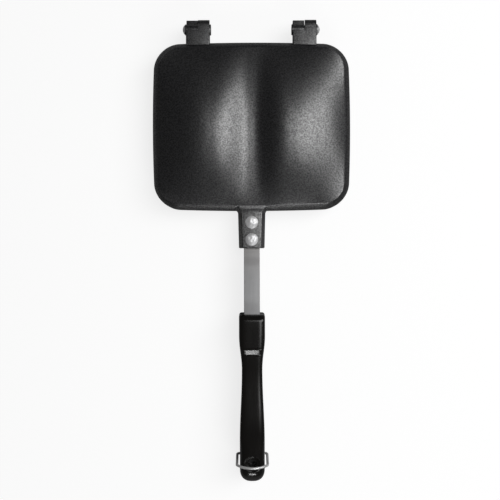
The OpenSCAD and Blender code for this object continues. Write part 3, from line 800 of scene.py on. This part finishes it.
def grip_skin():
    """Crown and sole on one plan, the front and rear faces, and the dished hole through both."""
    skin = Skin()
    column, cells, pitch, push_reach = 28, 6, 0.8, 8.7
    p = np.linspace(-1, 1, 2 * column + 1)
    across = np.sign(p) * (1 - (1 - np.abs(p)) ** 2.4)
    hole = grip_l - hang_inset
    window = hole + pitch * np.arange(-14, 15)
    rear = grip_l - butt_round * (1 - np.sin(np.radians(np.linspace(0, 90, 26))))
    s = np.concatenate([collar_round * (1 - np.cos(np.radians(np.linspace(0, 90, 8)))),
                        np.linspace(2.0, bevel_l, 7), np.linspace(5.6, 26, 22),
                        np.linspace(26.6, 34, 22), np.linspace(35, window[0] - 1.1, 58),
                        window, rear[rear > window[-1] + 0.2]])
    row = int(np.argmin(np.abs(s - hole)))
    S, A = np.meshgrid(s, across, indexing="ij")
    plan_x = A * half_width(S)
    block_x, block_y = float(plan_x[row, column + cells]), pitch * cells
    keep = np.ones((len(s) - 1, len(across) - 1), bool)
    keep[row - cells:row + cells, column - cells:column + cells] = False

    def face(top, radius):
        x, dy = pushed_apart(plan_x, S - hole, block_x, block_y, radius, push_reach / block_y)
        z = grip_surface(x, hole + dy, top)
        return np.stack([x, grip_front_y - hole - dy, z], -1)

    def rim(points):
        r0, r1, c0, c1 = row - cells, row + cells, column - cells, column + cells
        return np.concatenate([points[r0, c0:c1], points[r0:r1, c1],
                               points[r1, c1:c0:-1], points[r1:r0:-1, c0]])

    crown, sole = face(True, dish_r + 0.5), face(False, hang_r + 0.6)
    skin.grid(crown, flip=True, keep=keep)
    skin.grid(sole, keep=keep)
    skin.grid(np.stack([crown[0], sole[0]]))
    skin.grid(np.stack([crown[-1], sole[-1]]), flip=True)

    start, end = rim(crown), rim(sole)
    centre = np.array([0, grip_front_y - hole])
    away = start[:, :2] - centre
    away /= np.linalg.norm(away, axis=1, keepdims=True)
    floor = float(crown_height(np.array(hole))) - dish_h

    def ring(radius, z):
        return np.column_stack([centre + away * radius, np.broadcast_to(z, len(away))])

    lip, bowl_r = start[:, 2], 0.5
    rings = [start, ring(dish_r + 0.25, lip - 0.06), ring(dish_r + 0.08, lip - 0.2)]
    rings.append(ring(dish_r, mix(lip, floor, 0.55)))
    bowl = np.linspace(0, np.pi / 2, 7)
    sine, cosine = np.sin(bowl), np.cos(bowl)
    rings += [ring(dish_r - 0.9 * a - 0.05, floor + bowl_r * (1 - a)) for a in sine[1:]]
    rings += [ring(hang_r + bowl_r * (1 - a), floor - bowl_r * (1 - b))
              for a, b in zip(sine, cosine)]
    rings += [ring(hang_r, z) for z in np.linspace(floor - 1.5, grip_gap + 1.5, 8)]
    rings += [ring(hang_r + bowl_r * (1 - b), grip_gap + bowl_r * (1 - a) + 0.02)
              for a, b in zip(sine, cosine)]
    rings.append(end)
    skin.grid(np.stack(rings), round_cols=True)
    return skin


half_grip = grip_skin()
half_grip.piece("upper_resin_grip", "upper", resin, "upper_iron", ["upper_grip"], 40)
half_grip.piece("lower_resin_grip", "lower", resin, "lower_iron", ["lower_grip"], 40)

# %% [markdown]
# ## The bail
# The bail is one wire with an arched crossbar, two bends, two legs and two feet that turn into the
# lower grip's sides. A bevelled curve would do, but the same circles that lay out the CAD wire give
# its path here, with many more points, and a round section is carried along it.

# %% Lay out and carry the wire
def bail_path():
    """Half the wire as arcs and lines, from the crossbar's middle to the foot, then mirrored."""
    cx = bail_x - bail_bend_r
    arch_r = (cx ** 2 + bail_arch ** 2) / (2 * bail_arch)
    arch_y = bail_reach - arch_r
    bend_y = arch_y + math.sqrt((arch_r - bail_bend_r) ** 2 - cx ** 2)
    meet = math.degrees(math.atan2(bend_y - arch_y, cx))
    leg = np.linspace(bend_y, bail_bend_r, 10)[1:-1]
    half = np.vstack([arc(0, arch_y, arch_r, 90, meet, 26)[:-1],
                      arc(cx, bend_y, bail_bend_r, meet, 0, 14),
                      np.stack([np.full_like(leg, bail_x), leg], -1),
                      arc(cx, bail_bend_r, bail_bend_r, 0, -90, 16),
                      [[butt_w / 2 - bail_grip_depth, 0]]])
    return np.vstack([half[:0:-1] * (-1, 1), half])


def bail_skin(sides=24):
    """A circle of the wire's radius carried along the path, leaned back to its locked place."""
    skin = Skin()
    path = bail_path()
    along = np.gradient(path, axis=0)
    side = np.stack([along[:, 1], -along[:, 0]], -1) / np.linalg.norm(along, axis=1, keepdims=True)
    a = np.linspace(0, 2 * np.pi, sides, endpoint=False)
    flat = path[:, None] + wire_r * np.cos(a)[None, :, None] * side[:, None]
    lift = np.broadcast_to(wire_r * np.sin(a), flat.shape[:2])
    turn = math.radians(90 + bail_lean)
    y = flat[..., 1] * math.cos(turn) - lift * math.sin(turn)
    z = flat[..., 1] * math.sin(turn) + lift * math.cos(turn)
    pivot_y = grip_end_y + pivot_inset
    rings = np.stack([flat[..., 0], y + pivot_y, z - pivot_drop], -1)
    around = np.broadcast_to(a / (2 * np.pi), flat.shape[:2])
    skin.tube(rings, mark=around.ravel())
    return skin


bail_skin().piece("wire_bail", "upper", wire, "bail", ["locking_bail"], 50)

# %% [markdown]
# ## Floor, light and camera
# The iron is seen from straight above on a white ground. Three lamps stand round it: a broad one to
# the right that draws the domes, a weaker one in front for the shoulders and the rivets, and a small
# low one whose reflection lies on the thumb step. The world is a dim even fill. More light would
# whiten the ground, but the black coat too, so the white is a glow that only the camera sees, and
# the lamps stay at a plain level.

# %% The floor and the world
def pale_floor():
    """A wide square under the iron, in matt near-white paper with a trace of tooth."""
    f = Finish("white_paper", "none")
    tooth = f.noise(400.0, 2.0, 0.5)
    paper = f.node("ShaderNodeBsdfDiffuse", {}, {
        "Color": f.colours(tooth, (0.31, 0.31, 0.31), (0.33, 0.33, 0.33)),
        "Normal": f.bump(tooth, 0.00005, 0.2)}, out="BSDF")
    glow = f.node("ShaderNodeEmission", {}, {"Strength": 0.80}, out="Emission")
    white = f.node("ShaderNodeAddShader", {}, {0: paper, 1: glow}, out="Shader")
    f.node("ShaderNodeOutputMaterial", {}, {"Surface": f.seen_as(paper, white)})
    reach = 3.0
    mesh = bpy.data.meshes.new("paper_floor")
    corners = [(x * reach, y * reach, 0) for x, y in ((-1, -1), (1, -1), (1, 1), (-1, 1))]
    mesh.from_pydata(corners, [], [(0, 1, 2, 3)])
    mesh.materials.append(f.material)
    floor = bpy.data.objects.new("paper_floor", mesh)
    bpy.context.scene.collection.objects.link(floor)
    print("Laid the floor at z = 0")


def studio_world(fill, backdrop):
    """A dim even fill for the iron, behind which the camera sees a pale backdrop."""
    g = Graph(bpy.data.worlds.new("studio"))
    bpy.context.scene.world = g.owner
    light, seen = (g.node("ShaderNodeBackground", {}, {"Color": (1, 1, 1, 1), "Strength": strength})
                   for strength in (fill, backdrop))
    g.node("ShaderNodeOutputWorld", {}, {"Surface": g.seen_as(light, seen)})
    print(f"World: {fill} on the iron, {backdrop} to the camera")


pale_floor()
studio_world(0.055, 0.9)


# %% The lights
def area_light(name, at, aim, size, power):
    """A rectangular lamp of a size in metres and a power in watts, turned towards a point."""
    data = bpy.data.lights.new(name, "AREA")
    data.shape = "RECTANGLE"
    data.size, data.size_y = size
    data.energy = power
    light = bpy.data.objects.new(name, data)
    light.location = at
    away = np.array(at) - np.array(aim)
    tilt = math.acos(away[2] / np.linalg.norm(away))
    light.rotation_euler = (tilt, 0, math.atan2(away[1], away[0]) + math.pi / 2)
    bpy.context.scene.collection.objects.link(light)
    print(f"{name}: {power} W at {at}")


area_light("key_light", (0.60, 0.24, 1.13), (0, 0.0, 0.02), (0.66, 1.24), 9.6)
area_light("front_light", (0.35, -0.95, 0.75), (0.03, 0.1, 0.02), (0.5, 0.35), 2.2)
area_light("low_light", (0.0, -1.25, 0.26), (0, -0.08, 0.02), (0.13, 0.05), 0.55)

# %% The camera
camera_height, picture_width, picture_plane = 600.0, 394.0, 22.0
camera_data = bpy.data.cameras.new("photo_camera")
camera_data.sensor_width = 36.0
camera_data.lens = camera_data.sensor_width * camera_height / picture_width
camera = bpy.data.objects.new("photo_camera", camera_data)
camera.location = (-1.4 * MM, 0.07 * MM, (picture_plane + camera_height) * MM)
camera.rotation_euler = (0, 0, math.radians(-0.15))
bpy.context.scene.collection.objects.link(camera)
bpy.context.scene.camera = camera
bpy.context.scene.view_settings.view_transform = "Standard"
print(f"Camera {camera_height:.0f} mm above the plates, lens {camera_data.lens:.1f} mm")
